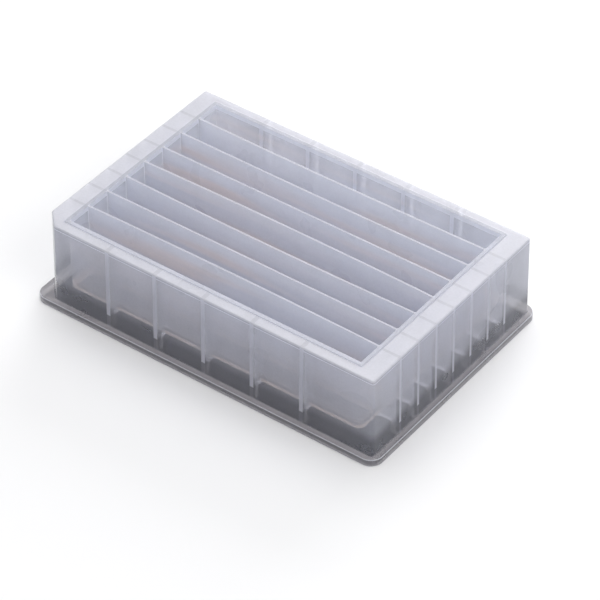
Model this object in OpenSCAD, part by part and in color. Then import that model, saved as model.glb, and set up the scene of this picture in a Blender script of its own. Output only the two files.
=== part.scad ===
// Eight-row reagent reservoir with a standard plate footprint.
// One moulding: a drafted skirt and deck carry a basin of long parallel troughs,
// thin ribs tie the basin to the skirt, and a stepped flange makes the foot.
// Origin: centre of the foot, on the surface it stands on. +Z is up, the rows run along X.

/* [Foot] */
// Length over the flange
footprint_l = 127.76; // [126:0.02:136]
// Width over the flange
footprint_w = 85.48; // [84:0.02:94]
// Corner radius of the flange
footprint_r = 4.2; // [3.5:0.1:6]
// Height of the flange above the surface it stands on
flange_h = 2.5; // [2:0.1:4]
// Wall and top thickness of the stepped flange
flange_t = 1.2; // [0.8:0.1:1.6]
// How far the flange stands out from the skirt's foot
flange_out = 2; // [1.4:0.1:3]

/* [Skirt and deck] */
// Height of the deck above the surface
deck_z = 31; // [24:0.5:44]
// Wall thickness of the skirt
skirt_t = 1.2; // [0.8:0.1:1.6]
// Thickness of the deck
deck_t = 1.2; // [0.8:0.1:2]
// How far each wall of the skirt spreads from the deck to the surface
skirt_spread = 0.5; // [0.1:0.1:0.8]
// Radius of the skirt's upright corners, at the deck
skirt_r = 1; // [0.9:0.1:4]
// Least radius of those corners on the inside
skirt_inner_r = 0.4; // [0.3:0.1:0.8]
// Rounding of the deck's outer edge
deck_edge_r = 0.5; // [0.2:0.1:0.8]
// Leg of the cut at the marked corner
corner_cut = 5.2; // [3:0.1:6]

/* [Troughs] */
// Number of troughs
rows = 8; // [4:1:8]
// Number of well columns that a trough spans
columns = 12; // [8:1:12]
// Distance from one trough to the next
pitch = 9; // [8.6:0.1:9.2]
// Thickness of a divider at its top
divider_t = 0.65; // [0.5:0.05:1.2]
// Thickness of the basin's outer wall at the rim
rim_t = 1.35; // [1:0.05:1.6]
// Height of the rim above the deck
rim_h = 0.5; // [0.3:0.1:2]
// Height of the trough floors above the surface
floor_z = 6.6; // [5:0.1:12]
// Thickness of the trough floors
floor_t = 1.2; // [0.8:0.1:2]
// How far each wall of a trough leans in from the rim to the floor
trough_taper = 0.4; // [0.1:0.1:0.5]
// Radius of the basin's upright corners inside, at the rim
trough_r = 1.5; // [1.5:0.1:2.5]
// Fillet between the basin's outer walls and the floors
floor_r = 0.9; // [0.3:0.1:0.9]
// Fillet at the foot of each divider
divider_foot_r = 0.7; // [0.3:0.1:0.8]
// Rounding of the basin's lower edge, outside
basin_edge_r = 1.2; // [0.4:0.1:1.6]
// How far each divider bows between its ends, from the back row to the front row
divider_bows = [-0.45, -0.25, 0, 0.6, -0.75, 0, 0.55];

/* [Ribs] */
// Thickness of the ribs between basin and skirt
rib_t = 1; // [0.6:0.1:1.6]
// Number of ribs on each long side
side_ribs = 5; // [1:1:5]
// Distance between the ribs on the long sides
side_rib_pitch = 18; // [12:1:22]
// Depth of the stacking foot under each rib
rib_foot_d = 1.8; // [1:0.1:2.2]

/* [Hidden] */
$fn = 64;

rim_z = deck_z + rim_h;
ledge_z = flange_h - flange_t;
basin_base_z = floor_z - floor_t;

deck_l = footprint_l - 2 * (flange_out + skirt_spread);
deck_w = footprint_w - 2 * (flange_out + skirt_spread);
skirt_lean = skirt_spread / deck_z;

trough_l = columns * pitch - divider_t;
trough_w = rows * pitch - divider_t;
basin_l = trough_l + 2 * rim_t;
basin_w = trough_w + 2 * rim_t;
trough_lean = trough_taper / (rim_z - floor_z);

// Cutting solids run this far past the faces that they open
overrun = 1;
// Rounding arcs cross the faces that they join by this much, so that they meet cleanly
arc_bite = 0.01;
// Sides of the arc that a bowed divider is drawn with
bow_sides = 24;

// Outline of a rounded rectangle
module rounded_rect(l, w, r) {
    square([l - 2 * r, w], center = true);
    square([l, w - 2 * r], center = true);
    for (x = [-1, 1], y = [-1, 1])
        translate([x * (l / 2 - r), y * (w / 2 - r)]) circle(r);
}

// Region outside the arc that joins a level line to a wall, on the side of the corner between them.
// wall_x is the wall's place at the level line, lean its run outwards for each unit down.
// The arc's centre is above the level line for up = 1, and below it for up = -1.
module corner_region(wall_x, z, lean, r, up) {
    slant = sqrt(1 + lean * lean);
    inset = r - arc_bite;
    centre = [wall_x - up * lean * inset - inset * slant, z + up * inset];
    to_wall = (r + overrun / 5) / slant * [1, lean];
    to_level = (r + overrun / 5) * [0, -up];
    difference() {
        polygon([centre, centre + to_level, centre + to_level + to_wall, centre + to_wall]);
        translate(centre) circle(r);
    }
}

// Section of a drafted block's side, from the axis of its corners out to its wall.
// The wall stands at r at the height ref_z, and leans out by lean downwards.
module side_section(r, ref_z, z0, z1, lean, base_r, top_r) {
    base_x = r + (ref_z - z0) * lean;
    top_x = r + (ref_z - z1) * lean;
    difference() {
        polygon([[0, z0], [base_x, z0], [top_x, z1], [0, z1]]);
        if (base_r > 0) corner_region(base_x, z0, lean, base_r, 1);
        if (top_r > 0) corner_region(top_x, z1, lean, top_r, -1);
    }
}

// Block with rounded corners and drafted walls. l, w and r are measured at the height ref_z.
module drafted_block(l, w, r, ref_z, z0, z1, lean, base_r = 0, top_r = 0) {
    axis_x = l / 2 - r;
    axis_y = w / 2 - r;
    translate([-axis_x, -axis_y, z0]) cube([2 * axis_x, 2 * axis_y, z1 - z0]);
    for (turn = [0, 180])
        rotate([0, 0, turn]) {
            translate([axis_x, 0, 0])
                rotate([90, 0, 0])
                    linear_extrude(height = 2 * axis_y, center = true)
                        side_section(r, ref_z, z0, z1, lean, base_r, top_r);
            translate([0, axis_y, 0])
                rotate([90, 0, 90])
                    linear_extrude(height = 2 * axis_x, center = true)
                        side_section(r, ref_z, z0, z1, lean, base_r, top_r);
            translate([axis_x, axis_y, 0])
                rotate_extrude(angle = 90) side_section(r, ref_z, z0, z1, lean, base_r, top_r);
            translate([-axis_x, axis_y, 0])
                rotate([0, 0, 90])
                    rotate_extrude(angle = 90) side_section(r, ref_z, z0, z1, lean, base_r, top_r);
        }
}

// Wedge outside the cut at the marked corner, moved in by inset
module corner_wedge(inset) {
    face_d = (deck_l / 2 + deck_w / 2 - corner_cut) / sqrt(2) - inset;
    lean = sqrt(2) * skirt_lean;
    reach = footprint_l;
    rotate([0, 0, 225])
        rotate([90, 0, 0])
            linear_extrude(height = footprint_l, center = true)
                polygon([[face_d + (deck_z + overrun) * lean, -overrun], [reach, -overrun],
                         [reach, deck_z + overrun], [face_d - overrun * lean, deck_z + overrun]]);
}

// Block of the skirt, moved in by inset and lowered at the top by drop
module skirt_block(inset, drop, top_r) {
    difference() {
        drafted_block(deck_l - 2 * inset, deck_w - 2 * inset, max(skirt_r - inset, skirt_inner_r),
                      deck_z, 0, deck_z - drop, skirt_lean, top_r = top_r);
        corner_wedge(inset);
    }
}

// Basin with the troughs still filled
module basin_block() {
    drafted_block(basin_l, basin_w, trough_r + rim_t, rim_z,
                  basin_base_z, deck_z, -trough_lean, base_r = basin_edge_r);
}

// Raised rim around the opening
module rim_block() {
    translate([0, 0, deck_z - deck_t / 2])
        linear_extrude(height = deck_t / 2 + rim_h) rounded_rect(basin_l, basin_w, rim_t / 2);
}

// Place of a rib on a long side, along the side
function side_rib_x(i) = (i - (side_ribs - 1) / 2) * side_rib_pitch;

// Place of a divider, counted from the back row
function divider_y(i) = (rows / 2 - i) * pitch;

// Upright plates that become the ribs where they cross the space inside the skirt
module rib_plates() {
    rise = deck_z - basin_base_z;
    for (i = [0 : side_ribs - 1])
        translate([side_rib_x(i) - rib_t / 2, -footprint_w / 2, basin_base_z])
            cube([rib_t, footprint_w, rise]);
    for (i = [1 : rows - 1])
        translate([-footprint_l / 2, divider_y(i) - rib_t / 2, basin_base_z])
            cube([footprint_l, rib_t, rise]);
}

// Small feet that carry each rib down to the flange's ledge along the skirt
module rib_feet() {
    spread = (deck_z - ledge_z) * skirt_lean;
    foot_x = deck_l / 2 + spread - skirt_t - rib_foot_d;
    foot_y = deck_w / 2 + spread - skirt_t - rib_foot_d;
    depth = rib_foot_d + skirt_t;
    for (side = [0, 1]) {
        mirror([0, side, 0])
            for (i = [0 : side_ribs - 1])
                translate([side_rib_x(i) - rib_t / 2, foot_y, -overrun])
                    cube([rib_t, depth, floor_z + overrun]);
        mirror([side, 0, 0])
            for (i = [1 : rows - 1])
                translate([foot_x, divider_y(i) - rib_t / 2, -overrun])
                    cube([depth, rib_t, floor_z + overrun]);
    }
}

// Space under the deck: the flange's step, then the gap between skirt, ribs and basin
module underside() {
    translate([0, 0, -overrun])
        linear_extrude(height = ledge_z + overrun)
            rounded_rect(footprint_l - 2 * flange_t, footprint_w - 2 * flange_t, footprint_r - flange_t);
    difference() {
        skirt_block(skirt_t, deck_t, 0);
        basin_block();
        rib_plates();
        rib_feet();
    }
}

// Section of a divider: a drafted web with a fillet on each side of its foot
module divider_section() {
    foot_x = divider_t / 2 + (rim_z - floor_z) * trough_lean;
    root_z = floor_z - floor_t / 2;
    root_x = foot_x + floor_t / 2 * trough_lean;
    for (side = [0, 1])
        mirror([side, 0]) {
            polygon([[0, root_z], [root_x, root_z], [divider_t / 2, rim_z], [0, rim_z]]);
            mirror([1, 0]) corner_region(-foot_x, floor_z, -trough_lean, divider_foot_r, 1);
        }
}

// Divider whose middle stands off the line between its ends by bow
module divider(y, bow) {
    span = trough_l + rim_t;
    if (bow == 0)
        translate([0, y, 0])
            rotate([90, 0, 90])
                linear_extrude(height = span, center = true) divider_section();
    else {
        radius = (span * span / 4 + bow * bow) / (2 * abs(bow));
        sweep = 2 * asin(span / 2 / radius);
        translate([0, y + bow - sign(bow) * radius, 0])
            rotate([0, 0, sign(bow) * 90 - sweep / 2])
                rotate_extrude(angle = sweep, $fn = bow_sides * 360 / sweep)
                    translate([radius, 0]) divider_section();
    }
}

// Space inside the rim, with the dividers left standing
module troughs() {
    difference() {
        drafted_block(trough_l, trough_w, trough_r, rim_z,
                      floor_z, rim_z + overrun, -trough_lean, base_r = floor_r);
        for (i = [1 : rows - 1])
            divider(divider_y(i), divider_bows[(i - 1) % len(divider_bows)]);
    }
}

// The whole moulding
module reservoir() {
    color([0.84, 0.84, 0.9])
        difference() {
            union() {
                linear_extrude(height = flange_h) rounded_rect(footprint_l, footprint_w, footprint_r);
                skirt_block(0, 0, deck_edge_r);
                rim_block();
            }
            underside();
            troughs();
        }
}

reservoir();
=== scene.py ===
"""Eight-row reagent reservoir: one moulding in natural polypropylene.

The moulding is lofted ring by ring from its own sizes, which are those of the CAD part. Node trees
set the rows of ribs under its deck and the bow that each divider took as it cooled.
"""

import logging
import math
from dataclasses import dataclass, field
from enum import Enum

import bmesh
import bpy
from mathutils import Matrix, Vector


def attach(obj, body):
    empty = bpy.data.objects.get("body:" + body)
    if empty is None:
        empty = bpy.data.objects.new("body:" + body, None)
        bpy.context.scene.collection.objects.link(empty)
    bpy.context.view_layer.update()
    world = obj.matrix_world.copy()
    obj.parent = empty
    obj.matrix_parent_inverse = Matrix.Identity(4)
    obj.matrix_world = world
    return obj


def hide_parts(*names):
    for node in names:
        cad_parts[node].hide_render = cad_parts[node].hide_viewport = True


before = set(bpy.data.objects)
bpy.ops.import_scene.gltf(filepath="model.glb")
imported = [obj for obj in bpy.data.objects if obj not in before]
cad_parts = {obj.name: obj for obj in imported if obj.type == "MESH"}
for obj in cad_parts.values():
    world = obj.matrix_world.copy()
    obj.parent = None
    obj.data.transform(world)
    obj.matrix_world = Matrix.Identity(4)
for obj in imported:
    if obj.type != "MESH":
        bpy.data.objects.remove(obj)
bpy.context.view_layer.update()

MM = 0.001

logging.basicConfig(level=logging.INFO, format="%(name)s: %(message)s")
log = logging.getLogger("reservoir")

Point = tuple[float, float]

# Rounding of the two ends of the cut corner's face, in millimetres.
CUT_EASE = 1.2


def linear_colour(hex_code: str) -> tuple[float, float, float, float]:
    """Turns an sRGB hex colour to linear.

    Args:
        hex_code: Six hex digits, such as "d8dae6".

    Returns:
        Red, green, blue and an alpha of 1.
    """
    channels = [int(hex_code[i : i + 2], 16) / 255 for i in (0, 2, 4)]
    linear = [c / 12.92 if c <= 0.04045 else ((c + 0.055) / 1.055) ** 2.4 for c in channels]
    return (linear[0], linear[1], linear[2], 1.0)


def add_node(
    tree: bpy.types.NodeTree, kind: str, settings: dict | str | None = None, **values: object
) -> bpy.types.Node:
    """Adds a node with its settings, values and links.

    Args:
        tree: The node tree that it goes into.
        kind: The node's type name.
        settings: Properties of the node itself, or the name of its operation alone.
        **values: Sockets by name, with underscores for spaces, or "i" and a number for a place. A socket
            given as the value is linked, a node by its first output in use, and anything else is set.

    Returns:
        The new node.
    """
    node = tree.nodes.new(kind)
    for name, value in ({"operation": settings} if isinstance(settings, str) else settings or {}).items():
        setattr(node, name, value)
    for name, value in values.items():
        by_place = name[0] == "i" and name[1:].isdigit()
        socket = node.inputs[int(name[1:]) if by_place else name.replace("_", " ")]
        if isinstance(value, bpy.types.Node):
            value = next(output for output in value.outputs if output.enabled)
        if isinstance(value, bpy.types.NodeSocket):
            tree.links.new(value, socket)
        else:
            socket.default_value = value
    return node


class Edge(Enum):
    """Which outline of the moulding a ring follows."""

    FLANGE = "flange"
    SKIRT = "skirt"
    RIM = "rim"
    BASIN = "basin"


class Zone(Enum):
    """Parts of the moulding that meet light in different ways."""

    DECK = "deck"
    RIM = "rim"
    DIVIDER_TOP = "divider top"
    EDGE = "edge"
    SKIRT = "skirt"
    FLANGE = "flange"
    INSIDE = "inside of skirt and flange"
    RIB = "rib"
    RIB_EDGE = "rib edge"
    RIB_FOOT = "rib foot"
    DIVIDER = "divider"
    BASIN_WALL = "basin wall"
    FLOOR_CORNER = "floor corner"
    FLOOR_EDGE = "floor edge"
    FLOOR = "floor"
    CEILING = "ceiling"


@dataclass(frozen=True)
class Turn:
    """One corner of a wall's section.

    Attributes:
        out: Distance out from the outline, in millimetres.
        z: Height, in millimetres.
        r: Rounding of the corner, in millimetres.
    """

    out: float
    z: float
    r: float = 0.0


@dataclass(frozen=True)
class ReservoirSizes:
    """Sizes of the moulding in millimetres, as in the CAD part."""

    footprint: Point = (127.76, 85.48)
    footprint_r: float = 4.2
    flange_h: float = 2.5
    flange_t: float = 1.2
    flange_out: float = 2.0
    deck_z: float = 31.0
    wall_t: float = 1.2
    skirt_spread: float = 0.5
    skirt_r: float = 1.0
    skirt_inner_r: float = 0.4
    corner_cut: float = 5.2
    rows: int = 8
    pitch: float = 9.0
    columns: int = 12
    divider_t: float = 0.65
    rim_t: float = 1.35
    rim_h: float = 0.5
    floor_z: float = 6.6
    floor_t: float = 1.2
    trough_taper: float = 0.4
    trough_r: float = 1.5
    floor_r: float = 0.9
    basin_edge_r: float = 1.2
    divider_bows: tuple[float, ...] = (-0.45, -0.25, 0.0, 0.6, -0.75, 0.0, 0.55)
    rib_t: float = 1.0
    side_ribs: int = 5
    side_rib_pitch: float = 18.0
    rib_foot_d: float = 1.8

    @property
    def rim_z(self) -> float:
        """Height of the rim."""
        return self.deck_z + self.rim_h

    @property
    def base_z(self) -> float:
        """Height of the basin's underside."""
        return self.floor_z - self.floor_t

    @property
    def ledge_z(self) -> float:
        """Height of the step inside the flange."""
        return self.flange_h - self.flange_t

    @property
    def deck(self) -> Point:
        """Length and width of the deck."""
        trim = 2 * (self.flange_out + self.skirt_spread)
        return (self.footprint[0] - trim, self.footprint[1] - trim)

    @property
    def trough(self) -> Point:
        """Length and width of the space inside the rim."""
        return (self.columns * self.pitch - self.divider_t, self.rows * self.pitch - self.divider_t)

    @property
    def basin(self) -> Point:
        """Length and width over the rim."""
        return (self.trough[0] + 2 * self.rim_t, self.trough[1] + 2 * self.rim_t)

    def skirt_out(self, z: float) -> float:
        """How far the skirt has spread at a height."""
        return self.skirt_spread * (1 - z / self.deck_z)

    def lean_in(self, z: float) -> float:
        """How far a trough's wall has leant in at a height."""
        return self.trough_taper * (self.rim_z - z) / (self.rim_z - self.floor_z)


def round_turns(turns: list[Turn], steps: int = 5) -> list[Point]:
    """Rounds the corners of a section.

    Args:
        turns: The corners in order. The first and last stay sharp.
        steps: Faces along each rounding.

    Returns:
        The section's points, each as distance out and height.
    """
    points: list[Point] = []
    for i, turn in enumerate(turns):
        here = Vector((turn.out, turn.z))
        if turn.r <= 0 or i in (0, len(turns) - 1):
            points.append((here.x, here.y))
            continue
        before = (Vector((turns[i - 1].out, turns[i - 1].z)) - here).normalized()
        after = (Vector((turns[i + 1].out, turns[i + 1].z)) - here).normalized()
        half = before.angle(after) / 2
        centre = here + (before + after).normalized() * (turn.r / math.sin(half))
        start = here + before * (turn.r / math.tan(half)) - centre
        end = here + after * (turn.r / math.tan(half)) - centre
        sweep = start.angle_signed(end)
        for k in range(steps + 1):
            spoke = Matrix.Rotation(-sweep * k / steps, 2) @ start
            points.append((centre.x + spoke.x, centre.y + spoke.y))
    return points


def corner_arc(centre: Point, radius: float, start: float, sweep: float, count: int) -> list[Point]:
    """Points along an arc.

    Args:
        centre: The arc's centre.
        radius: Its radius.
        start: The angle that it starts at, in degrees.
        sweep: The angle that it covers, in degrees.
        count: How many points it has.

    Returns:
        The points, both ends included.
    """
    angles = [math.radians(start + sweep * i / (count - 1)) for i in range(count)]
    return [(centre[0] + radius * math.cos(a), centre[1] + radius * math.sin(a)) for a in angles]


def rounded_outline(size: Point, r: float, count: int, side_steps: int = 1, cut: float = 0.0) -> list[Point]:
    """Outline of a rounded rectangle, anticlockwise from its +X +Y corner.

    Args:
        size: Length and width.
        r: Corner radius.
        count: Points on each corner.
        side_steps: Faces along each long side.
        cut: Leg of the cut that takes the place of the -X -Y corner, or 0.

    Returns:
        The outline's points.
    """
    half = Vector(size) / 2
    points: list[Point] = []
    for turn, (sx, sy) in enumerate(((1, 1), (-1, 1), (-1, -1), (1, -1))):
        if cut and turn == 2:
            ease = CUT_EASE
            set_back = ease * math.tan(math.radians(22.5))
            first = (-half.x + ease, -half.y + cut + set_back)
            last = (-half.x + cut + set_back, -half.y + ease)
            points += corner_arc(first, ease, 180, 45, count // 2)
            points += corner_arc(last, ease, 225, 45, count - count // 2)
        else:
            centre = (sx * (half.x - r), sy * (half.y - r))
            points += corner_arc(centre, r, 90 * turn, 90, count)
        if turn in (0, 2):
            a, b = points[-1], (-sx * (half.x - r), sy * half.y)
            for k in range(1, side_steps):
                points.append((a[0] + (b[0] - a[0]) * k / side_steps, a[1] + (b[1] - a[1]) * k / side_steps))
    return points


@dataclass
class Moulding:
    """The whole reservoir: skirt, deck, rim, troughs, dividers, ribs and flange in one shot of plastic.

    Attributes:
        sizes: The part's own sizes.
        corner_points: Points on each rounded corner.
        trough_steps: Faces along each long side of a trough, which let a divider bow.
        mouth_r: Rounding of a trough's mouth, in millimetres.
        trough_corner_r: Corner radius of a trough seen from above, in millimetres.
        rib_edge: Width of the strip along a rib's free edges that has a painted glow, in millimetres.
        rib_sunk: How far a rib reaches into deck, skirt and basin, so that they join, in millimetres.
        rib_root: How far in under the basin a rib's lower end reaches, in millimetres.
        rib_bend_z: Height at which a rib's inner end turns in to follow the basin, in millimetres.
        rib_under_floor: How far under the troughs' floor a rib's inner end stays, in millimetres.
        side_rib_clear: End of the basin's long side that has no rib of that side, in millimetres.
    """

    sizes: ReservoirSizes = field(default_factory=ReservoirSizes)
    corner_points: int = 12
    trough_steps: int = 28
    mouth_r: float = 0.16
    trough_corner_r: float = 0.4
    rib_edge: float = 0.5
    rib_sunk: float = 0.6
    rib_root: float = 1.55
    rib_bend_z: float = 8.0
    rib_under_floor: float = 0.2
    side_rib_clear: float = 8.0

    def outline(self, edge: Edge, out: float) -> list[Point]:
        """Outline of a ring.

        Args:
            edge: The outline that it follows.
            out: Distance out from it.

        Returns:
            The ring's points.
        """
        s = self.sizes
        size, r, cut = {
            Edge.FLANGE: (s.footprint, s.footprint_r, 0.0),
            Edge.SKIRT: (s.deck, s.skirt_r, s.corner_cut),
            Edge.RIM: (s.basin, s.rim_t / 2, 0.0),
            Edge.BASIN: (s.basin, s.trough_r + s.rim_t, 0.0),
        }[edge]
        # An offset of a cut corner keeps its face parallel, so its leg shrinks by 2 - sqrt(2) of the offset.
        leg = cut + (2 - math.sqrt(2)) * out if cut else 0.0
        least = s.skirt_inner_r if edge is Edge.SKIRT else 0.1
        grown = (size[0] + 2 * out, size[1] + 2 * out)
        return rounded_outline(grown, max(r + out, least), self.corner_points, cut=leg)

    def shell_sections(self) -> list[tuple[Edge, list[Turn]]]:
        """Sections of the walls in order, from the underside of the basin round to the rim."""
        s = self.sizes
        ceiling = s.deck_z - s.wall_t
        foot = s.skirt_out(s.flange_h)
        inner_foot = s.skirt_out(s.ledge_z) - s.wall_t
        base_in = -s.lean_in(s.base_z)
        return [
            (Edge.BASIN, [Turn(base_in - 3, s.base_z), Turn(base_in, s.base_z, s.basin_edge_r),
                          Turn(-s.lean_in(s.floor_z + s.floor_r), s.floor_z + s.floor_r),
                          Turn(-s.lean_in(ceiling), ceiling, 0.3), Turn(0.9, ceiling)]),
            (Edge.SKIRT, [Turn(-s.wall_t - 0.6, ceiling), Turn(s.skirt_out(ceiling) - s.wall_t, ceiling, 0.3),
                          Turn(inner_foot, s.ledge_z, 0.15), Turn(inner_foot + 0.3, s.ledge_z)]),
            (Edge.FLANGE, [Turn(-s.flange_t - 0.3, s.ledge_z), Turn(-s.flange_t, s.ledge_z, 0.2),
                           Turn(-s.flange_t, 0, 0.2), Turn(0, 0, 0.25), Turn(0, s.flange_h, 0.35),
                           Turn(-0.6, s.flange_h)]),
            (Edge.SKIRT, [Turn(foot + 0.5, s.flange_h), Turn(foot, s.flange_h, 0.35),
                          Turn(0, s.deck_z, 0.5), Turn(-1.0, s.deck_z)]),
            (Edge.RIM, [Turn(0.4, s.deck_z), Turn(0, s.deck_z, 0.15), Turn(0, s.rim_z, 0.22),
                        Turn(-0.3, s.rim_z)]),
        ]

    def trough_rings(self, row: int) -> list[list[Vector]]:
        """Rings of one trough, from its mouth down to its floor.

        Args:
            row: The trough, counted from the back.

        Returns:
            The rings, each a list of points.
        """
        s = self.sizes
        length, width = s.trough[0], s.pitch - s.divider_t
        y = ((s.rows - 1) / 2 - row) * s.pitch
        section = round_turns([
            Turn(2.0, s.rim_z), Turn(0, s.rim_z, self.mouth_r),
            Turn(-s.lean_in(s.floor_z), s.floor_z, s.floor_r), Turn(-2.4, s.floor_z),
        ], 6)[1:]
        rings = []
        for out, z in section:
            r = max(self.trough_corner_r + out, 0.12)
            ring = rounded_outline((length + 2 * out, width + 2 * out), r, 7, self.trough_steps)
            rings.append([Vector((px, py + y, z)) for px, py in ring])
        return rings

    def loft(self, bm: bmesh.types.BMesh, rings: list[list[Vector]]) -> list[list[bmesh.types.BMVert]]:
        """Joins rings of equal count with smooth quads.

        Args:
            bm: The mesh being made.
            rings: The rings in order.

        Returns:
            The rings' vertices.
        """
        made = [[bm.verts.new(p) for p in ring] for ring in rings]
        for lower, upper in zip(made, made[1:]):
            for i in range(len(lower)):
                j = (i + 1) % len(lower)
                bm.faces.new((lower[i], lower[j], upper[j], upper[i])).smooth = True
        return made

    def shell(self) -> bpy.types.Object:
        """Lofts the moulding without its ribs, with straight dividers."""
        bm = bmesh.new()
        rings = []
        for edge, turns in self.shell_sections():
            for out, z in round_turns(turns):
                rings.append([Vector((x, y, z)) for x, y in self.outline(edge, out)])
        walls = self.loft(bm, rings)
        bm.faces.new(walls[0])
        top_edges = [bm.edges.get((a, b)) for a, b in zip(walls[-1], walls[-1][1:] + walls[-1][:1])]
        for row in range(self.sizes.rows):
            trough = self.loft(bm, self.trough_rings(row))
            bm.faces.new(trough[-1])
            top_edges += [bm.edges.get((a, b)) for a, b in zip(trough[0], trough[0][1:] + trough[0][:1])]
        bmesh.ops.triangle_fill(bm, use_beauty=True, use_dissolve=False, edges=top_edges)
        bmesh.ops.recalc_face_normals(bm, faces=bm.faces)
        return self.as_object("shell", bm)

    def as_object(self, name: str, bm: bmesh.types.BMesh) -> bpy.types.Object:
        """Turns a mesh in millimetres to an object in metres.

        Args:
            name: The object's name.
            bm: The mesh, which is freed.

        Returns:
            The object.
        """
        bmesh.ops.scale(bm, vec=(MM, MM, MM), verts=bm.verts)
        mesh = bpy.data.meshes.new(name)
        bm.to_mesh(mesh)
        bm.free()
        made = bpy.data.objects.new(name, mesh)
        bpy.context.collection.objects.link(made)
        return made

    def rib_blank(self, name: str, along_x: bool) -> bpy.types.Object:
        """One rib with its stacking foot, standing at the middle of a side.

        Args:
            name: The object's name.
            along_x: Whether the rib points along X, as on the ends.

        Returns:
            The rib.
        """
        s = self.sizes
        axis = 0 if along_x else 1
        near = s.basin[axis] / 2
        far = s.deck[axis] / 2 - s.wall_t
        sunk, root_in, root_z = self.rib_sunk, near - self.rib_root, self.rib_bend_z
        foot = far + s.skirt_out(s.ledge_z) - s.rib_foot_d
        top = s.deck_z - s.wall_t + sunk
        outline = [
            (root_in, s.base_z), (foot, s.base_z), (foot, s.ledge_z),
            (far + s.skirt_spread + sunk / 2, s.ledge_z), (far + sunk, top), (near - sunk, top),
            (near - s.rim_t / 2 - s.lean_in(root_z), root_z), (root_in, s.floor_z - self.rib_under_floor),
        ]
        bm = bmesh.new()
        face = bm.faces.new([bm.verts.new((d, -s.rib_t / 2, z)) for d, z in outline])
        side = bmesh.ops.extrude_face_region(bm, geom=[face])["geom"]
        moved = [v for v in side if isinstance(v, bmesh.types.BMVert)]
        bmesh.ops.translate(bm, vec=(0, s.rib_t, 0), verts=moved)
        # Its free edges have a painted glow, so its sides are split along them.
        lean = Vector((s.deck_z, 0, s.skirt_spread))
        for place, normal in (
            ((0, 0, s.base_z), (0, 0, 1)),
            ((0, 0, s.base_z + self.rib_edge), (0, 0, 1)),
            ((far - self.rib_edge, 0, s.deck_z), lean),
        ):
            whole = bm.verts[:] + bm.edges[:] + bm.faces[:]
            bmesh.ops.bisect_plane(bm, geom=whole, plane_co=place, plane_no=normal)
        if not along_x:
            bmesh.ops.rotate(bm, cent=(0, 0, 0), matrix=Matrix.Rotation(math.pi / 2, 3, "Z"), verts=bm.verts)
        bmesh.ops.recalc_face_normals(bm, faces=bm.faces)
        return self.as_object(name, bm)

    def zone_of(self, place: Vector, normal: Vector) -> Zone:
        """Which zone a face of the finished moulding is in.

        Args:
            place: The face's middle, in millimetres.
            normal: Its direction.

        Returns:
            The zone.
        """
        s = self.sizes
        # The bare numbers below are play of under a millimetre, or parts of a normal.
        x, y, z = abs(place.x), abs(place.y), place.z
        in_basin = x < s.basin[0] / 2 and y < s.basin[1] / 2
        in_skirt = x < s.deck[0] / 2 - s.wall_t - 0.1 and y < s.deck[1] / 2 - s.wall_t - 0.1
        in_trough = x < s.trough[0] / 2 + 0.3 and y < s.trough[1] / 2 + 0.3
        in_gap = in_skirt and not (x < s.basin[0] / 2 - 0.5 and y < s.basin[1] / 2 - 0.5)
        if in_basin and z > s.deck_z + 0.2 and normal.z > 0.3:
            on_rim = x > s.trough[0] / 2 + 0.1 or y > s.trough[1] / 2 + 0.1
            return Zone.RIM if on_rim else Zone.DIVIDER_TOP
        if z > s.deck_z - 0.6 and not in_basin and normal.z > -0.2:
            return Zone.DECK if normal.z > 0.9 else Zone.EDGE
        if in_gap and s.ledge_z - 0.3 < z < s.deck_z - s.wall_t and max(abs(normal.x), abs(normal.y)) > 0.98:
            by_side = y > s.basin[1] / 2 - 0.6 and x < s.basin[0] / 2 - self.side_rib_clear
            turned = abs(normal.x if by_side else normal.y) > 0.98
            inset = (x - s.deck[0] / 2) if abs(normal.y) > 0.98 else (y - s.deck[1] / 2)
            by_skirt = inset + s.wall_t - s.skirt_out(z) > -self.rib_edge
            if turned and z < s.base_z:
                return Zone.RIB_FOOT
            if turned:
                return Zone.RIB_EDGE if by_skirt or z < s.base_z + self.rib_edge else Zone.RIB
        if in_gap and s.ledge_z - 0.3 < z < s.base_z + 0.1 and normal.z < -0.9:
            return Zone.RIB_EDGE if z > s.base_z - 0.1 else Zone.RIB_FOOT
        facing_in = normal.x * place.x + normal.y * place.y < -0.1
        if z < s.flange_h + 0.01 and not in_skirt and not facing_in:
            return Zone.EDGE if 0.2 < abs(normal.z) < 0.97 or z < 0.3 else Zone.FLANGE
        if not in_skirt:
            return Zone.INSIDE if facing_in else Zone.SKIRT
        if z < s.floor_z + 0.05:
            return Zone.FLOOR_EDGE if z > s.base_z + 0.01 and normal.z < 0.5 else Zone.FLOOR
        if z > s.deck_z - s.wall_t - 0.5 and not in_basin:
            return Zone.CEILING
        if z < s.floor_z + s.floor_r:
            return Zone.FLOOR_CORNER if in_trough else Zone.FLOOR_EDGE
        on_divider = y < s.trough[1] / 2 - s.pitch / 2 and abs(normal.y) > 0.9 and in_trough
        return Zone.DIVIDER if on_divider else Zone.BASIN_WALL


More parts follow.
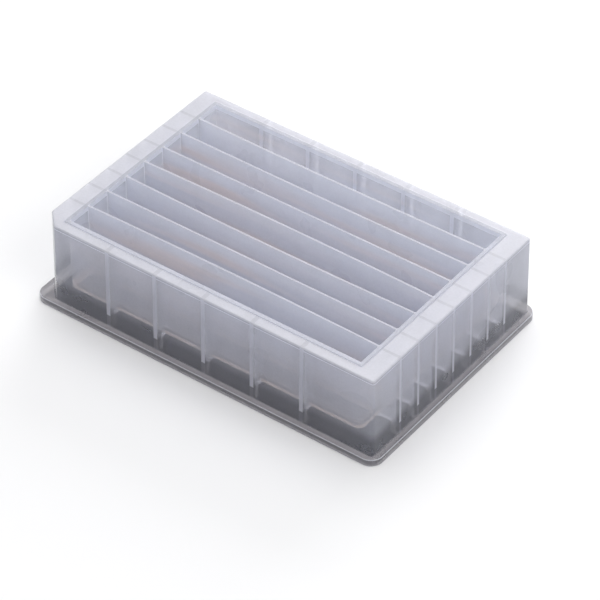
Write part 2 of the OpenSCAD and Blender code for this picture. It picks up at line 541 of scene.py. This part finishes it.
def named_inputs(tree: bpy.types.NodeTree, inputs: dict[str, object]) -> dict[str, bpy.types.NodeSocket]:
    """Gives a geometry tree its inputs and output.

    Args:
        tree: The tree.
        inputs: Each input's name with its default, whose type sets the socket's. None is a material.

    Returns:
        The group input's sockets by name.
    """
    kinds = {float: "NodeSocketFloat", int: "NodeSocketInt", tuple: "NodeSocketVector"}
    tree.interface.new_socket("Geometry", in_out="INPUT", socket_type="NodeSocketGeometry")
    tree.interface.new_socket("Geometry", in_out="OUTPUT", socket_type="NodeSocketGeometry")
    for name, value in inputs.items():
        kind = kinds.get(type(value), "NodeSocketMaterial")
        socket = tree.interface.new_socket(name, in_out="INPUT", socket_type=kind)
        if value is not None:
            socket.default_value = value
    return {s.name: s for s in tree.nodes.new("NodeGroupInput").outputs if s.name}


def baked(obj: bpy.types.Object, name: str) -> bpy.types.Object:
    """Turns an object with modifiers to a plain mesh object, and removes the old one.

    Args:
        obj: The object with its modifiers.
        name: The new object's name.

    Returns:
        The new object.
    """
    graph = bpy.context.evaluated_depsgraph_get()
    mesh = bpy.data.meshes.new_from_object(obj.evaluated_get(graph), depsgraph=graph)
    bpy.data.objects.remove(obj)
    mesh.name = name
    made = bpy.data.objects.new(name, mesh)
    bpy.context.collection.objects.link(made)
    return made


def set_inputs(modifier: bpy.types.NodesModifier, values: dict[str, object]) -> None:
    """Sets a modifier's inputs by their sockets' identifiers.

    Args:
        modifier: The modifier, with its tree set.
        values: Each input's name and value.
    """
    for item in modifier.node_group.interface.items_tree:
        if item.in_out == "INPUT" and item.name in values:
            modifier[item.identifier] = values[item.name]


@dataclass
class RibRows:
    """Rows of ribs along two facing sides, as a node tree sets them."""

    moulding: Moulding

    def tree(self) -> bpy.types.NodeTree:
        """Builds the tree: a rib blank on a line of points, and the same row turned half round."""
        tree = bpy.data.node_groups.new("Rib row", "GeometryNodeTree")
        ports = named_inputs(tree, {"Count": 5, "Pitch": (0.018, 0.0, 0.0), "Plastic": None})
        blank = tree.nodes["Group Input"].outputs["Geometry"]
        less_one = add_node(tree, "ShaderNodeMath", "SUBTRACT", i0=ports["Count"], i1=1.0)
        back = add_node(tree, "ShaderNodeMath", "MULTIPLY", i0=less_one, i1=-0.5)
        start = add_node(tree, "ShaderNodeVectorMath", "SCALE", i0=ports["Pitch"], Scale=back)
        line = add_node(tree, "GeometryNodeMeshLine", {"mode": "OFFSET"}, Count=ports["Count"],
                        Start_Location=start, Offset=ports["Pitch"])
        row = add_node(tree, "GeometryNodeInstanceOnPoints", Points=line, Instance=blank)
        facing = add_node(tree, "GeometryNodeTransform", Geometry=row, Rotation=(0.0, 0.0, math.pi))
        both = add_node(tree, "GeometryNodeJoinGeometry", i0=row)
        tree.links.new(facing.outputs[0], both.inputs[0])
        solid = add_node(tree, "GeometryNodeRealizeInstances", Geometry=both)
        dressed = add_node(tree, "GeometryNodeSetMaterial", Geometry=solid, Material=ports["Plastic"])
        add_node(tree, "NodeGroupOutput", i0=dressed)
        return tree

    def build(self, plastic: bpy.types.Material) -> list[bpy.types.Object]:
        """Makes the ribs of the long sides and of the ends.

        Args:
            plastic: The moulding's material.

        Returns:
            The two sets of ribs.
        """
        s = self.moulding.sizes
        tree = self.tree()
        made = []
        for name, along_x, count, pitch in (
            ("side_ribs", False, s.side_ribs, (s.side_rib_pitch * MM, 0.0, 0.0)),
            ("end_ribs", True, s.rows - 1, (0.0, s.pitch * MM, 0.0)),
        ):
            blank = self.moulding.rib_blank(name + "_blank", along_x)
            modifier = blank.modifiers.new("row", "NODES")
            modifier.node_group = tree
            set_inputs(modifier, {"Count": count, "Pitch": pitch, "Plastic": plastic})
            made.append(baked(blank, name))
            log.info("%s: %d on each of two sides", name, count)
        return made


@dataclass
class DividerSet:
    """The bow that each divider took as it cooled, as a node tree sets it.

    Attributes:
        sizes: The moulding's sizes.
        floor_share: Share of a divider's bow that reaches its foot.
    """

    sizes: ReservoirSizes
    floor_share: float = 0.35

    def tree(self) -> bpy.types.NodeTree:
        """Builds the tree: every point between two dividers moves by a blend of their bows."""
        s = self.sizes
        tree = bpy.data.node_groups.new("Divider set", "GeometryNodeTree")
        names = [f"Bow {i + 1}" for i in range(s.rows - 1)]
        ports = named_inputs(tree, {name: 0.0 for name in names} | {
            "Pitch": 0.009, "Length": 0.107, "Floor": 0.0066, "Rim": 0.0315, "Floor share": 0.3,
            "Plastic": None})
        shape = tree.nodes["Group Input"].outputs["Geometry"]

        maths = "ShaderNodeMath"
        place = add_node(tree, "ShaderNodeSeparateXYZ", Vector=add_node(tree, "GeometryNodeInputPosition"))
        x, y, z = place.outputs
        rows_off = add_node(tree, maths, "DIVIDE", i0=y, i1=ports["Pitch"])
        row = add_node(tree, maths, "SUBTRACT", i0=s.rows / 2, i1=rows_off)
        index = add_node(tree, maths, "FLOOR", i0=row)
        bows = []
        for shift in (0.0, 1.0):
            pick = tree.nodes.new("GeometryNodeIndexSwitch")
            pick.data_type = "FLOAT"
            while len(pick.index_switch_items) < s.rows + 1:
                pick.index_switch_items.new()
            tree.links.new(add_node(tree, maths, "ADD", i0=index, i1=shift).outputs[0], pick.inputs["Index"])
            for i, name in enumerate(names):
                tree.links.new(ports[name], pick.inputs[i + 2])
            bows.append(pick.outputs[0])
        between = add_node(tree, maths, "FRACT", i0=row)
        bow = add_node(tree, "ShaderNodeMix", {"data_type": "FLOAT"}, Factor=between, i2=bows[0], i3=bows[1])
        # Each bow is a parabola from end wall to end wall, and less of it reaches the floor.
        twice = add_node(tree, maths, "MULTIPLY", i0=x, i1=2.0)
        along = add_node(tree, maths, "DIVIDE", i0=twice, i1=ports["Length"])
        square = add_node(tree, maths, "MULTIPLY", i0=along, i1=along)
        arch = add_node(tree, maths, {"operation": "SUBTRACT", "use_clamp": True}, i0=1.0, i1=square)
        height = add_node(tree, "ShaderNodeMapRange", Value=z, From_Min=ports["Floor"], From_Max=ports["Rim"],
                          To_Min=ports["Floor share"], To_Max=1.0)
        floor = add_node(tree, maths, "SUBTRACT", i0=ports["Floor"], i1=1e-5)
        raised = add_node(tree, maths, "GREATER_THAN", i0=z, i1=floor)
        share = add_node(tree, maths, "MULTIPLY", i0=height, i1=raised)
        arched = add_node(tree, maths, "MULTIPLY", i0=bow, i1=arch)
        across = add_node(tree, maths, "MULTIPLY", i0=arched, i1=share)
        offset = add_node(tree, "ShaderNodeCombineXYZ", Y=across)
        moved = add_node(tree, "GeometryNodeSetPosition", Geometry=shape, Offset=offset)
        solid = add_node(tree, "GeometryNodeRealizeInstances", Geometry=moved)
        dressed = add_node(tree, "GeometryNodeSetMaterial", Geometry=solid, Material=ports["Plastic"])
        add_node(tree, "NodeGroupOutput", i0=dressed)
        return tree

    def apply_to(self, obj: bpy.types.Object, plastic: bpy.types.Material) -> None:
        """Puts the set on a moulding.

        Args:
            obj: The moulding, with straight dividers.
            plastic: Its material.
        """
        s = self.sizes
        modifier = obj.modifiers.new("set", "NODES")
        modifier.node_group = self.tree()
        set_inputs(modifier, {f"Bow {i + 1}": bow * MM for i, bow in enumerate(s.divider_bows)} | {
            "Pitch": s.pitch * MM, "Length": s.trough[0] * MM, "Floor": s.floor_z * MM, "Rim": s.rim_z * MM,
            "Floor share": self.floor_share, "Plastic": plastic})


@dataclass(frozen=True)
class Look:
    """How one zone of the moulding meets light.

    Attributes:
        haze: Share of the light that a face scatters, from 0, clear, to 1, solid white.
        warmth: How far that scattered light has turned warm on its way through the plastic.
        seam: What a rib behind the face adds to its haze, partly painted light; below 0, painted shade.
        streak: How strongly pale warm streaks of painted light show on it.
        fade: Painted shade: how much of its haze it loses towards the foot, and how dark the foot is painted.
        depth: What its haze gains towards the floor of a trough, which is negative where it clears.
        back: Share of the scattered light that comes out at the other side.
    """

    haze: float
    warmth: float = 0.0
    seam: float = 0.0
    streak: float = 0.0
    fade: float = 0.0
    depth: float = 0.0
    back: float = 0.45


@dataclass(frozen=True)
class NaturalPolypropylene:
    """Natural polypropylene, injection moulded.

    It holds no pigment. Its crystals scatter blue light more than red, so a thin wall is a faint lavender
    haze that shows the ribs behind it, an edge seen end on is nearly white, and light that has come a long
    way through it is warm. Sizes ending in mm and heights are in millimetres.

    Attributes:
        scattered: Colour of the light that it scatters.
        scattered_warm: That colour after a long way through the plastic.
        straight: Colour of the light that goes straight through a face.
        ior: Its index of refraction.
        roughness: Roughness of its moulded face.
        roughness_play: How far the clouds lower and raise that roughness.
        cloud_mm: Size of a cloud.
        cloud_haze: Share of the haze that a cloud adds or takes.
        grain_mm: Size of a grain, drawn coarser than the real texture so that it shows.
        grain_haze: Share of the haze that the grain adds or takes.
        noise_span: Span of the noise that clouds and grain use.
        relief: Strength and height in millimetres of the grain's relief.
        streak_mm: Length, width and height of a painted streak.
        streak_span: Span of the noise over which a painted streak appears.
        streak_below_rim: Depths under the rim at which painted streaks are whole and gone.
        streak_haze: Haze that a whole painted streak adds.
        streak_warmth: Warmth that a whole painted streak adds.
        line_soft_mm: Half the width of the soft edge of a rib's line.
        side_line_more_mm: How much wider than the rib itself a line of the long sides shows.
        rib_reach: Heights over the basin's underside between which a rib's line comes in.
        rib_tail: How strongly the line of a rib shows below that.
        under_deck_mm: Half the width of the line under the deck.
        fade_from_z: Height below which the skirt's haze fades no further.
        depth_below_rim: Depth under the rim from which a trough's wall starts to change.
        foot_z: Heights between which painted shade darkens the foot of the skirt.
        foot_dim: How strongly it does, for each unit of fade.
        looks: How each zone meets light.
    """

    scattered: str = "edf0fa"
    scattered_warm: str = "f6dfce"
    straight: str = "fafafa"
    ior: float = 1.49
    roughness: float = 0.3
    roughness_play: Point = (-0.04, 0.06)
    cloud_mm: float = 14.0
    cloud_haze: float = 0.06
    grain_mm: float = 0.7
    grain_haze: float = 0.03
    noise_span: Point = (0.3, 0.7)
    relief: Point = (0.05, 0.02)
    streak_mm: tuple[float, float, float] = (70.0, 9.0, 6.0)
    streak_span: Point = (0.48, 0.68)
    streak_below_rim: Point = (5.0, 2.0)
    streak_haze: float = 0.4
    streak_warmth: float = 1.2
    line_soft_mm: float = 0.15
    side_line_more_mm: float = 0.4
    rib_reach: Point = (0.8, 1.2)
    rib_tail: float = 0.15
    under_deck_mm: float = 0.12
    fade_from_z: float = 4.0
    depth_below_rim: float = 6.0
    foot_z: Point = (7.0, 12.0)
    foot_dim: float = 2.2
    looks: dict[Zone, Look] = field(default_factory=lambda: {
        # Painted shade: the deck is clearer over each rib.
        Zone.DECK: Look(0.66, 0.12, seam=-0.11, back=0.3),
        Zone.RIM: Look(0.38, 0.1, back=0.45),
        Zone.DIVIDER_TOP: Look(0.53, 0.1, back=0.35),
        # Painted highlight, partly real for the longer way through the plastic: rounded edges of deck and
        # flange.
        Zone.EDGE: Look(0.78, 0.1, back=0.35),
        # Painted light along the ribs, and painted shade towards the foot.
        Zone.SKIRT: Look(0.54, 0.05, seam=0.42, fade=0.25, back=0.6),
        Zone.FLANGE: Look(0.28, 0.3, back=0.5),
        Zone.INSIDE: Look(0.0),
        Zone.RIB: Look(0.35, 0.03, back=0.6),
        # Painted glow: a rib's free edges, drawn milky white for light piped along the plastic.
        Zone.RIB_EDGE: Look(1.0, 0.1, back=0.5),
        Zone.RIB_FOOT: Look(0.07),
        # Painted light: pale warm streaks low on the dividers.
        Zone.DIVIDER: Look(0.4, streak=0.35, depth=-0.04),
        # Painted light along the ribs behind it, and pale warm streaks of painted light.
        Zone.BASIN_WALL: Look(0.38, seam=0.4, streak=0.2, depth=-0.2),
        # Painted glow: the floor's corner and edge, milky and warm for light that has crossed the floor.
        Zone.FLOOR_CORNER: Look(0.7, 0.8, back=0.5),
        Zone.FLOOR_EDGE: Look(0.95, 0.7, back=0.6),
        Zone.FLOOR: Look(0.15, 0.3, back=0.5),
        Zone.CEILING: Look(0.3),
    })

    def mark(self, mesh: bpy.types.Mesh, moulding: Moulding) -> None:
        """Writes each face's look on it as the attributes "look", "flow" and "back".

        Args:
            mesh: The finished moulding.
            moulding: What knows its zones.
        """
        looks = [self.looks[moulding.zone_of(face.center / MM, face.normal)] for face in mesh.polygons]
        for name, values in (
            ("look", [value for look in looks for value in (look.haze, look.warmth, look.seam)]),
            ("streak_fade_depth", [value for look in looks for value in (look.streak, look.fade, look.depth)]),
        ):
            mesh.attributes.new(name, "FLOAT_VECTOR", "FACE").data.foreach_set("vector", values)
        mesh.attributes.new("back", "FLOAT", "FACE").data.foreach_set("value", [look.back for look in looks])

    def rib_line(
        self, tree: bpy.types.NodeTree, along: bpy.types.NodeSocket, pitch: float, count: int, width: float
    ) -> bpy.types.Node:
        """Lines where a row of ribs stands behind a wall.

        Args:
            tree: The material's tree.
            along: Where a point is along the row, in metres.
            pitch: Distance between ribs, in millimetres.
            count: How many there are.
            width: How wide a line shows, in millimetres.

        Returns:
            A node that is 1 on a line and 0 between lines.
        """
        maths = "ShaderNodeMath"
        away = add_node(tree, maths, "ABSOLUTE", i0=along)
        nearest = add_node(tree, maths, "PINGPONG", i0=away, i1=pitch * MM / 2)
        soft = self.line_soft_mm
        line = add_node(tree, "ShaderNodeMapRange", {"interpolation_type": "SMOOTHSTEP"}, Value=nearest,
                        From_Min=(width / 2 - soft) * MM, From_Max=(width / 2 + soft) * MM,
                        To_Min=1.0, To_Max=0.0)
        row = add_node(tree, maths, "LESS_THAN", i0=away, i1=pitch * MM * count / 2)
        return add_node(tree, maths, "MULTIPLY", i0=line, i1=row)

    def material(self, s: ReservoirSizes) -> bpy.types.Material:
        """Builds the material.

        Args:
            s: The moulding's sizes, which place the ribs.

        Returns:
            The material.
        """
        made = bpy.data.materials.new("Natural polypropylene, moulded")
        made.use_nodes = True
        tree = made.node_tree
        tree.nodes.clear()
        maths, split, ranged = "ShaderNodeMath", "ShaderNodeSeparateXYZ", "ShaderNodeMapRange"
        smooth = {"interpolation_type": "SMOOTHSTEP"}
        look = add_node(tree, "ShaderNodeAttribute", {"attribute_name": "look"})
        haze_here, warmth_here, seam_light_here = add_node(tree, split, Vector=look.outputs["Vector"]).outputs
        streak_fade_depth = add_node(tree, "ShaderNodeAttribute", {"attribute_name": "streak_fade_depth"})
        streak_here, foot_shade_here, depth_here = add_node(tree, split, Vector=streak_fade_depth.outputs["Vector"]).outputs
        place = add_node(tree, "ShaderNodeTexCoord").outputs["Object"]
        x, y, z = add_node(tree, split, Vector=place).outputs

        # Painted light: lines over the ribs add haze to skirt and basin wall, partly for the thicker plastic
        # at each joint; on the deck they take haze away, as painted shade. They show more where the ribs
        # reach the whole way up than at their feet.
        side = self.rib_line(tree, x, s.side_rib_pitch, s.side_ribs, s.rib_t + self.side_line_more_mm)
        end = self.rib_line(tree, y, s.pitch, s.rows - 1, s.rib_t)
        far_x = add_node(tree, maths, "ABSOLUTE", i0=x)
        far_y = add_node(tree, maths, "ABSOLUTE", i0=y)
        spread = add_node(tree, maths, "MULTIPLY", i0=far_y, i1=s.deck[0] / s.deck[1])
        on_side = add_node(tree, maths, "GREATER_THAN", i0=spread, i1=far_x)
        lines = add_node(tree, "ShaderNodeMix", {"data_type": "FLOAT"}, Factor=on_side, i2=end, i3=side)
        reach = add_node(tree, ranged, Value=z, From_Min=(s.base_z + self.rib_reach[0]) * MM,
                         From_Max=(s.base_z + self.rib_reach[1]) * MM, To_Min=self.rib_tail, To_Max=1.0)
        # Painted light too along the deck's underside: a thin line on the skirt, a band on the troughs'
        # walls.
        under_deck = add_node(tree, maths, "COMPARE", i0=z, i1=(s.deck_z - s.wall_t) * MM,
                              i2=self.under_deck_mm * MM)
        behind_deck = add_node(tree, maths, "GREATER_THAN", i0=z, i1=(s.deck_z - s.wall_t) * MM)
        past_x = add_node(tree, maths, "GREATER_THAN", i0=far_x, i1=s.basin[0] / 2 * MM)
        past_y = add_node(tree, maths, "GREATER_THAN", i0=far_y, i1=s.basin[1] / 2 * MM)
        past_basin = add_node(tree, maths, "MAXIMUM", i0=past_x, i1=past_y)
        deck_line = add_node(tree, "ShaderNodeMix", {"data_type": "FLOAT"}, Factor=past_basin,
                             i2=behind_deck, i3=under_deck)
        reached = add_node(tree, maths, "MULTIPLY", i0=lines, i1=reach)
        drawn = add_node(tree, maths, "MAXIMUM", i0=reached, i1=deck_line)
        seam_lights = add_node(tree, maths, "MULTIPLY", i0=drawn, i1=seam_light_here)

        # Slow clouds come from uneven cooling, and fine grain from the tool's spark-eroded faces.
        cloud = add_node(tree, "ShaderNodeTexNoise", Vector=place, Scale=1 / (self.cloud_mm * MM),
                         Detail=2.0, Roughness=0.5)
        grain = add_node(tree, "ShaderNodeTexNoise", Vector=place, Scale=1 / (self.grain_mm * MM),
                         Detail=1.0, Roughness=0.6)
        least, most = self.noise_span
        clouded = add_node(tree, ranged, Value=cloud.outputs["Fac"], From_Min=least, From_Max=most,
                           To_Min=1 - self.cloud_haze, To_Max=1 + self.cloud_haze)
        grained = add_node(tree, ranged, Value=grain.outputs["Fac"], From_Min=least, From_Max=most,
                           To_Min=1 - self.grain_haze, To_Max=1 + self.grain_haze)
        uneven = add_node(tree, maths, "MULTIPLY", i0=clouded, i1=grained)

        # Painted light: pale warm streaks low along the troughs, for light warmed on its way through the
        # walls.
        streak_size = tuple(size * MM for size in self.streak_mm)
        stretched = add_node(tree, "ShaderNodeVectorMath", "DIVIDE", i0=place, i1=streak_size)
        streak_noise = add_node(tree, "ShaderNodeTexNoise", Vector=stretched, Scale=1.0, Detail=1.0, Roughness=0.4)
        mark = add_node(tree, ranged, smooth, Value=streak_noise.outputs["Fac"],
                        From_Min=self.streak_span[0], From_Max=self.streak_span[1])
        below = add_node(tree, ranged, smooth, Value=z, From_Min=(s.rim_z - self.streak_below_rim[0]) * MM,
                         From_Max=(s.rim_z - self.streak_below_rim[1]) * MM, To_Min=1.0, To_Max=0.0)
        marked = add_node(tree, maths, "MULTIPLY", i0=mark, i1=below)
        streaked = add_node(tree, maths, "MULTIPLY", i0=marked, i1=streak_here)

        # Painted shade: the skirt is milky by the deck and clearer towards its foot, so it reads lit from
        # above.
        low = add_node(tree, ranged, Value=z, From_Min=self.fade_from_z * MM, From_Max=s.deck_z * MM,
                       To_Min=1.0, To_Max=0.0)
        lost = add_node(tree, maths, "MULTIPLY", i0=low, i1=foot_shade_here)
        kept = add_node(tree, maths, "SUBTRACT", i0=uneven, i1=lost)
        plain = add_node(tree, maths, "MULTIPLY_ADD", i0=haze_here, i1=kept, i2=seam_lights)
        # The troughs' walls scatter a little less towards the floor.
        deep = add_node(tree, ranged, smooth, Value=z, From_Min=s.floor_z * MM,
                        From_Max=(s.rim_z - self.depth_below_rim) * MM, To_Min=1.0, To_Max=0.0)
        deepened = add_node(tree, maths, "MULTIPLY", i0=deep, i1=depth_here)
        haze_by_depth = add_node(tree, maths, "ADD", i0=plain, i1=deepened)
        clamped = {"operation": "MULTIPLY_ADD", "use_clamp": True}
        haze = add_node(tree, maths, clamped, i0=streaked, i1=self.streak_haze, i2=haze_by_depth)
        turned = add_node(tree, maths, "MULTIPLY", i0=streaked, i1=self.streak_warmth)
        warmth = add_node(tree, maths, "ADD", i0=warmth_here, i1=turned)
        tinted = add_node(tree, "ShaderNodeMix", {"data_type": "RGBA"}, Factor=warmth,
                          i6=linear_colour(self.scattered), i7=linear_colour(self.scattered_warm))

        # Painted shade: the skirt's foot, below the basin, is darkened, but not where a rib stands behind it.
        foot = add_node(tree, ranged, smooth, Value=z, From_Min=self.foot_z[0] * MM,
                        From_Max=self.foot_z[1] * MM, To_Min=1.0, To_Max=0.0)
        between = add_node(tree, maths, "SUBTRACT", i0=1.0, i1=drawn)
        shaded_foot = add_node(tree, maths, "MULTIPLY", i0=foot, i1=foot_shade_here)
        foot_shade = add_node(tree, maths, "MULTIPLY", i0=shaded_foot, i1=between)
        light = add_node(tree, maths, clamped, i0=foot_shade, i1=-self.foot_dim, i2=1.0)
        colour = add_node(tree, "ShaderNodeVectorMath", "SCALE", i0=tinted.outputs[2], Scale=light)

        relief = add_node(tree, "ShaderNodeBump", Strength=self.relief[0], Distance=self.relief[1] * MM,
                          Height=grain.outputs["Fac"])
        front = add_node(tree, "ShaderNodeBsdfDiffuse", Color=colour, Normal=relief)
        back = add_node(tree, "ShaderNodeBsdfTranslucent", Color=colour, Normal=relief)
        through = add_node(tree, "ShaderNodeAttribute", {"attribute_name": "back"})
        milk = add_node(tree, "ShaderNodeMixShader", i0=through.outputs["Fac"], i1=front, i2=back)
        clear = add_node(tree, "ShaderNodeBsdfTransparent", Color=linear_colour(self.straight))
        body = add_node(tree, "ShaderNodeMixShader", i0=haze, i1=clear, i2=milk)

        rough = add_node(tree, ranged, Value=cloud.outputs["Fac"], From_Min=least, From_Max=most,
                         To_Min=self.roughness + self.roughness_play[0],
                         To_Max=self.roughness + self.roughness_play[1])
        gloss = add_node(tree, "ShaderNodeBsdfAnisotropic", Roughness=rough, Normal=relief)
        mirrored = add_node(tree, "ShaderNodeFresnel", IOR=self.ior, Normal=relief)
        inside = add_node(tree, "ShaderNodeNewGeometry").outputs["Backfacing"]
        outside = add_node(tree, maths, "SUBTRACT", i0=1.0, i1=inside)
        shine = add_node(tree, maths, "MULTIPLY", i0=mirrored, i1=outside)
        surface = add_node(tree, "ShaderNodeMixShader", i0=shine, i1=body, i2=gloss)
        add_node(tree, "ShaderNodeOutputMaterial", Surface=surface)
        return made


@dataclass(frozen=True)
class Studio:
    """The floor, the lamps and the camera.

    Attributes:
        floor_hex: The floor's colour to the light that falls on the moulding, and through the moulding.
        floor_seen_hex: Its colour where it is seen directly, and to glossy and transmission rays.
        floor_fade: Distances from the middle, in metres, between which that floor turns to plain white.
        sky: Strength of the room's light.
        camera_at: The camera's place, in metres.
        camera_turn: How far it is turned from Y and tipped down, in degrees.
        lens: Its focal length, in millimetres.
    """

    floor_hex: str = "4c4f5a"
    floor_seen_hex: str = "f7f7f8"
    floor_fade: tuple[float, float] = (0.16, 0.6)
    sky: float = 0.5
    camera_at: tuple[float, float, float] = (0.4539, -0.6036, 0.6469)
    camera_turn: tuple[float, float] = (36.605, 40.455)
    lens: float = 195.75

    def build(self) -> None:
        """Builds the stage."""
        self.floor()
        self.lamps()
        self.camera()
        self.light_paths()

    def light_paths(self) -> None:
        """Lets light cross every wall of the moulding, which is up to forty faces deep."""
        cycles = bpy.context.scene.cycles
        cycles.max_bounces = 32
        cycles.diffuse_bounces = 16
        cycles.glossy_bounces = 6
        cycles.transmission_bounces = 32
        cycles.transparent_max_bounces = 64

    def floor(self) -> None:
        """Lays a wide floor that shows pale to direct view, and dark through the moulding."""
        bm = bmesh.new()
        bmesh.ops.create_grid(bm, x_segments=1, y_segments=1, size=6.0)
        mesh = bpy.data.meshes.new("floor")
        bm.to_mesh(mesh)
        bm.free()
        ground = bpy.data.objects.new("floor", mesh)
        bpy.context.collection.objects.link(ground)
        paint = bpy.data.materials.new("Floor, matt paint")
        paint.use_nodes = True
        tree = paint.node_tree
        tree.nodes.clear()
        path = add_node(tree, "ShaderNodeLightPath")
        maths, (near, far) = "ShaderNodeMath", self.floor_fade
        mirrored = add_node(tree, maths, "MAXIMUM", i0=path.outputs["Is Glossy Ray"],
                            i1=path.outputs["Is Transmission Ray"])
        # A camera ray that has crossed a wall of the moulding meets the floor at its darker colour.
        untouched = add_node(tree, maths, "LESS_THAN", i0=path.outputs["Transparent Depth"], i1=0.5)
        direct = add_node(tree, maths, "MULTIPLY", i0=path.outputs["Is Camera Ray"], i1=untouched)
        seen = add_node(tree, maths, "MAXIMUM", i0=direct, i1=mirrored)
        paper = add_node(tree, "ShaderNodeMix", {"data_type": "RGBA"}, Factor=seen,
                         i6=linear_colour(self.floor_hex), i7=linear_colour(self.floor_seen_hex))
        shade = add_node(tree, "ShaderNodeBsdfDiffuse", Color=paper)
        # Beyond the part and its shadow the ground shows as white as the backdrop.
        place = add_node(tree, "ShaderNodeTexCoord").outputs["Object"]
        away = add_node(tree, "ShaderNodeVectorMath", "LENGTH", i0=place)
        fade = add_node(tree, "ShaderNodeMapRange", {"interpolation_type": "SMOOTHSTEP"},
                        Value=away.outputs["Value"], From_Min=near, From_Max=far)
        white = add_node(tree, "ShaderNodeEmission", Color=(1.0, 1.0, 1.0, 1.0), Strength=1.0)
        share = add_node(tree, maths, "MULTIPLY", i0=fade, i1=seen)
        surface = add_node(tree, "ShaderNodeMixShader", i0=share, i1=shade, i2=white)
        add_node(tree, "ShaderNodeOutputMaterial", Surface=surface)
        mesh.materials.append(paint)

    def lamps(self) -> None:
        """Hangs the soft lamps and sets the room's light."""
        world = bpy.data.worlds.new("room")
        bpy.context.scene.world = world
        world.use_nodes = True
        tree = world.node_tree
        tree.nodes.clear()
        seen = add_node(tree, "ShaderNodeLightPath")
        sky = add_node(tree, "ShaderNodeBackground", Color=(1.0, 1.0, 1.0, 1.0), Strength=self.sky)
        white = add_node(tree, "ShaderNodeBackground", Color=(1.0, 1.0, 1.0, 1.0), Strength=1.0)
        mix = add_node(tree, "ShaderNodeMixShader", i0=seen.outputs["Is Camera Ray"], i1=sky.outputs[0],
                       i2=white.outputs[0])
        add_node(tree, "ShaderNodeOutputWorld", Surface=mix.outputs[0])
        for name, place, size, power in (
            ("key", (-0.35, 0.3, 1.3), 1.2, 8.3),
            ("fill", (1.0, -0.1, 0.75), 1.0, 5.3),
            ("back", (-0.3, 1.2, 0.5), 0.8, 8.6),
        ):
            lamp = bpy.data.lights.new(name, "AREA")
            lamp.shape = "SQUARE"
            lamp.size = size
            lamp.energy = power
            hung = bpy.data.objects.new(name, lamp)
            hung.location = place
            hung.rotation_euler = (-Vector(place)).to_track_quat("-Z", "Y").to_euler()
            bpy.context.collection.objects.link(hung)

    def camera(self) -> None:
        """Sets up the camera."""
        turn, lift = (math.radians(a) for a in self.camera_turn)
        ahead = Vector((-math.sin(turn) * math.cos(lift), math.cos(turn) * math.cos(lift), -math.sin(lift)))
        right = Vector((math.cos(turn), math.sin(turn), 0.0))
        up = right.cross(ahead)
        data = bpy.data.cameras.new("camera")
        data.lens = self.lens
        data.sensor_width = 36.0
        data.clip_start = 0.01
        eye = bpy.data.objects.new("camera", data)
        facing = Matrix((right, up, -ahead)).transposed().to_4x4()
        eye.matrix_world = Matrix.Translation(self.camera_at) @ facing
        bpy.context.collection.objects.link(eye)
        bpy.context.scene.camera = eye


def main() -> None:
    """Builds the stage and the reservoir, and reports each piece."""
    Studio().build()
    bpy.context.scene.view_settings.view_transform = "Standard"
    moulding = Moulding()
    finish = NaturalPolypropylene()
    plastic = finish.material(moulding.sizes)
    shell = moulding.shell()
    log.info("shell: %d faces", len(shell.data.polygons))
    ribs = RibRows(moulding).build(plastic)
    for rib in ribs:
        join = shell.modifiers.new("join", "BOOLEAN")
        join.operation = "UNION"
        join.solver = "EXACT"
        join.object = rib
    DividerSet(moulding.sizes).apply_to(shell, plastic)
    reservoir = baked(shell, "reservoir_moulding")
    for rib in ribs:
        bpy.data.objects.remove(rib)
    log.info("reservoir_moulding: %d faces", len(reservoir.data.polygons))
    finish.mark(reservoir.data, moulding)
    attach(reservoir, "root")
    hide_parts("reservoir")


if __name__ == "__main__":
    main()
